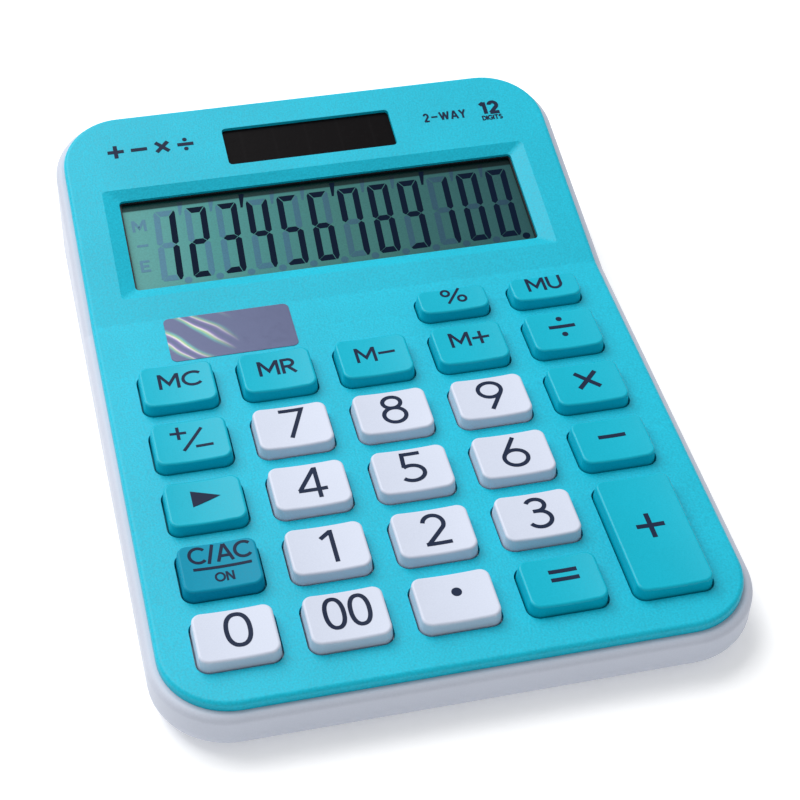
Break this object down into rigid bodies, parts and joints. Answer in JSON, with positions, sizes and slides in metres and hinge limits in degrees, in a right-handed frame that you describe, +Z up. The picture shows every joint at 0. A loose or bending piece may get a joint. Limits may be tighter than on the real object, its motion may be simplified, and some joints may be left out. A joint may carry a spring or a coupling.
{
  "type": "desk calculator",
  "caption": "Desk calculator with a sloping keypad, bent-up display section, recessed display and solar window, each key on its own sprung slide.",
  "frame": {"origin": "on the table, under the middle of the case's outline", "axes": "+Z up, +Y from the front edge towards the display end, +X to the user's right"},
  "size_m": [0.107, 0.1494, 0.0286],
  "materials": {
    "cover": "fine moulded grain",
    "case": "satin moulded white",
    "turquoise_keys": "satin moulded",
    "clear_key": "satin moulded",
    "white_keys": "satin moulded",
    "black": "matt black",
    "display": "matt polarising film",
    "glass": "thin sheet glass",
    "reflector": "diffuse metallised film",
    "ribbon": "polyester film with carbon tracks",
    "solar": "amorphous silicon behind glass",
    "foam": "closed-cell foam",
    "lead_red": "PVC insulation",
    "lead_black": "PVC insulation",
    "board": "solder-masked laminate",
    "rubber_mat": "translucent grey silicone",
    "carbon": "conductive rubber",
    "can": "sleeved can",
    "steel": "nickel-plated",
    "screws": "zinc-plated",
    "feet": "matt rubber",
    "foil": "iridescent metallised film"
  },
  "bodies": {
    "case": {"top_cover": "cover", "rear_case": "case", "display_holder": "black", "front_polariser": "display", "lcd_front_glass": "glass", "lcd_rear_glass": "glass", "rear_reflector": "reflector", "heat_seal_ribbon": "ribbon", "solar_cell": "solar", "solar_pad": "foam", "solar_lead_red": "lead_red", "solar_lead_black": "lead_black", "main_board": "board", "key_mat": "rubber_mat", "carbon_pills": "carbon", "chip_blob": "black", "capacitor": "can", "button_cell": "steel", "cell_clip_positive": "steel", "cell_contact_negative": "steel", "case_screws": "screws", "board_screws": "screws", "rubber_feet": "feet", "foil_sticker": "foil"},
    "key_percent_body": {"key_percent": "turquoise_keys"},
    "key_mu_body": {"key_mu": "turquoise_keys"},
    "key_mc_body": {"key_mc": "turquoise_keys"},
    "key_mr_body": {"key_mr": "turquoise_keys"},
    "key_m_minus_body": {"key_m_minus": "turquoise_keys"},
    "key_m_plus_body": {"key_m_plus": "turquoise_keys"},
    "key_divide_body": {"key_divide": "turquoise_keys"},
    "key_sign_body": {"key_sign": "turquoise_keys"},
    "key_7_body": {"key_7": "white_keys"},
    "key_8_body": {"key_8": "white_keys"},
    "key_9_body": {"key_9": "white_keys"},
    "key_times_body": {"key_times": "turquoise_keys"},
    "key_forward_body": {"key_forward": "turquoise_keys"},
    "key_4_body": {"key_4": "white_keys"},
    "key_5_body": {"key_5": "white_keys"},
    "key_6_body": {"key_6": "white_keys"},
    "key_minus_body": {"key_minus": "turquoise_keys"},
    "key_clear_body": {"key_clear": "clear_key"},
    "key_1_body": {"key_1": "white_keys"},
    "key_2_body": {"key_2": "white_keys"},
    "key_3_body": {"key_3": "white_keys"},
    "key_plus_body": {"key_plus": "turquoise_keys"},
    "key_0_body": {"key_0": "white_keys"},
    "key_00_body": {"key_00": "white_keys"},
    "key_point_body": {"key_point": "white_keys"},
    "key_equals_body": {"key_equals": "turquoise_keys"}
  },
  "joints": [
    {"name": "press_percent", "type": "slide", "parent": "case", "child": "key_percent_body", "axis": [0, 0.0489, -0.9988], "range_m": [0, 0.0013], "stiffness_N_per_m": 500, "springref_m": -0.0004, "deforming": ["key_mat", "carbon_pills"]},
    {"name": "press_mu", "type": "slide", "parent": "case", "child": "key_mu_body", "axis": [0, 0.0489, -0.9988], "range_m": [0, 0.0013], "stiffness_N_per_m": 500, "springref_m": -0.0004, "deforming": ["key_mat", "carbon_pills"]},
    {"name": "press_mc", "type": "slide", "parent": "case", "child": "key_mc_body", "axis": [0, 0.0489, -0.9988], "range_m": [0, 0.0013], "stiffness_N_per_m": 500, "springref_m": -0.0004, "deforming": ["key_mat", "carbon_pills"]},
    {"name": "press_mr", "type": "slide", "parent": "case", "child": "key_mr_body", "axis": [0, 0.0489, -0.9988], "range_m": [0, 0.0013], "stiffness_N_per_m": 500, "springref_m": -0.0004, "deforming": ["key_mat", "carbon_pills"]},
    {"name": "press_m_minus", "type": "slide", "parent": "case", "child": "key_m_minus_body", "axis": [0, 0.0489, -0.9988], "range_m": [0, 0.0013], "stiffness_N_per_m": 500, "springref_m": -0.0004, "deforming": ["key_mat", "carbon_pills"]},
    {"name": "press_m_plus", "type": "slide", "parent": "case", "child": "key_m_plus_body", "axis": [0, 0.0489, -0.9988], "range_m": [0, 0.0013], "stiffness_N_per_m": 500, "springref_m": -0.0004, "deforming": ["key_mat", "carbon_pills"]},
    {"name": "press_divide", "type": "slide", "parent": "case", "child": "key_divide_body", "axis": [0, 0.0489, -0.9988], "range_m": [0, 0.0013], "stiffness_N_per_m": 500, "springref_m": -0.0004, "deforming": ["key_mat", "carbon_pills"]},
    {"name": "press_sign", "type": "slide", "parent": "case", "child": "key_sign_body", "axis": [0, 0.0489, -0.9988], "range_m": [0, 0.0013], "stiffness_N_per_m": 500, "springref_m": -0.0004, "deforming": ["key_mat", "carbon_pills"]},
    {"name": "press_7", "type": "slide", "parent": "case", "child": "key_7_body", "axis": [0, 0.0489, -0.9988], "range_m": [0, 0.0013], "stiffness_N_per_m": 500, "springref_m": -0.0004, "deforming": ["key_mat", "carbon_pills"]},
    {"name": "press_8", "type": "slide", "parent": "case", "child": "key_8_body", "axis": [0, 0.0489, -0.9988], "range_m": [0, 0.0013], "stiffness_N_per_m": 500, "springref_m": -0.0004, "deforming": ["key_mat", "carbon_pills"]},
    {"name": "press_9", "type": "slide", "parent": "case", "child": "key_9_body", "axis": [0, 0.0489, -0.9988], "range_m": [0, 0.0013], "stiffness_N_per_m": 500, "springref_m": -0.0004, "deforming": ["key_mat", "carbon_pills"]},
    {"name": "press_times", "type": "slide", "parent": "case", "child": "key_times_body", "axis": [0, 0.0489, -0.9988], "range_m": [0, 0.0013], "stiffness_N_per_m": 500, "springref_m": -0.0004, "deforming": ["key_mat", "carbon_pills"]},
    {"name": "press_forward", "type": "slide", "parent": "case", "child": "key_forward_body", "axis": [0, 0.0489, -0.9988], "range_m": [0, 0.0013], "stiffness_N_per_m": 500, "springref_m": -0.0004, "deforming": ["key_mat", "carbon_pills"]},
    {"name": "press_4", "type": "slide", "parent": "case", "child": "key_4_body", "axis": [0, 0.0489, -0.9988], "range_m": [0, 0.0013], "stiffness_N_per_m": 500, "springref_m": -0.0004, "deforming": ["key_mat", "carbon_pills"]},
    {"name": "press_5", "type": "slide", "parent": "case", "child": "key_5_body", "axis": [0, 0.0489, -0.9988], "range_m": [0, 0.0013], "stiffness_N_per_m": 500, "springref_m": -0.0004, "deforming": ["key_mat", "carbon_pills"]},
    {"name": "press_6", "type": "slide", "parent": "case", "child": "key_6_body", "axis": [0, 0.0489, -0.9988], "range_m": [0, 0.0013], "stiffness_N_per_m": 500, "springref_m": -0.0004, "deforming": ["key_mat", "carbon_pills"]},
    {"name": "press_minus", "type": "slide", "parent": "case", "child": "key_minus_body", "axis": [0, 0.0489, -0.9988], "range_m": [0, 0.0013], "stiffness_N_per_m": 500, "springref_m": -0.0004, "deforming": ["key_mat", "carbon_pills"]},
    {"name": "press_clear", "type": "slide", "parent": "case", "child": "key_clear_body", "axis": [0, 0.0489, -0.9988], "range_m": [0, 0.0013], "stiffness_N_per_m": 500, "springref_m": -0.0004, "deforming": ["key_mat", "carbon_pills"]},
    {"name": "press_1", "type": "slide", "parent": "case", "child": "key_1_body", "axis": [0, 0.0489, -0.9988], "range_m": [0, 0.0013], "stiffness_N_per_m": 500, "springref_m": -0.0004, "deforming": ["key_mat", "carbon_pills"]},
    {"name": "press_2", "type": "slide", "parent": "case", "child": "key_2_body", "axis": [0, 0.0489, -0.9988], "range_m": [0, 0.0013], "stiffness_N_per_m": 500, "springref_m": -0.0004, "deforming": ["key_mat", "carbon_pills"]},
    {"name": "press_3", "type": "slide", "parent": "case", "child": "key_3_body", "axis": [0, 0.0489, -0.9988], "range_m": [0, 0.0013], "stiffness_N_per_m": 500, "springref_m": -0.0004, "deforming": ["key_mat", "carbon_pills"]},
    {"name": "press_plus", "type": "slide", "parent": "case", "child": "key_plus_body", "axis": [0, 0.0489, -0.9988], "range_m": [0, 0.0013], "stiffness_N_per_m": 500, "springref_m": -0.0004, "deforming": ["key_mat", "carbon_pills"]},
    {"name": "press_0", "type": "slide", "parent": "case", "child": "key_0_body", "axis": [0, 0.0489, -0.9988], "range_m": [0, 0.0013], "stiffness_N_per_m": 500, "springref_m": -0.0004, "deforming": ["key_mat", "carbon_pills"]},
    {"name": "press_00", "type": "slide", "parent": "case", "child": "key_00_body", "axis": [0, 0.0489, -0.9988], "range_m": [0, 0.0013], "stiffness_N_per_m": 500, "springref_m": -0.0004, "deforming": ["key_mat", "carbon_pills"]},
    {"name": "press_point", "type": "slide", "parent": "case", "child": "key_point_body", "axis": [0, 0.0489, -0.9988], "range_m": [0, 0.0013], "stiffness_N_per_m": 500, "springref_m": -0.0004, "deforming": ["key_mat", "carbon_pills"]},
    {"name": "press_equals", "type": "slide", "parent": "case", "child": "key_equals_body", "axis": [0, 0.0489, -0.9988], "range_m": [0, 0.0013], "stiffness_N_per_m": 500, "springref_m": -0.0004, "deforming": ["key_mat", "carbon_pills"]}
  ]
}
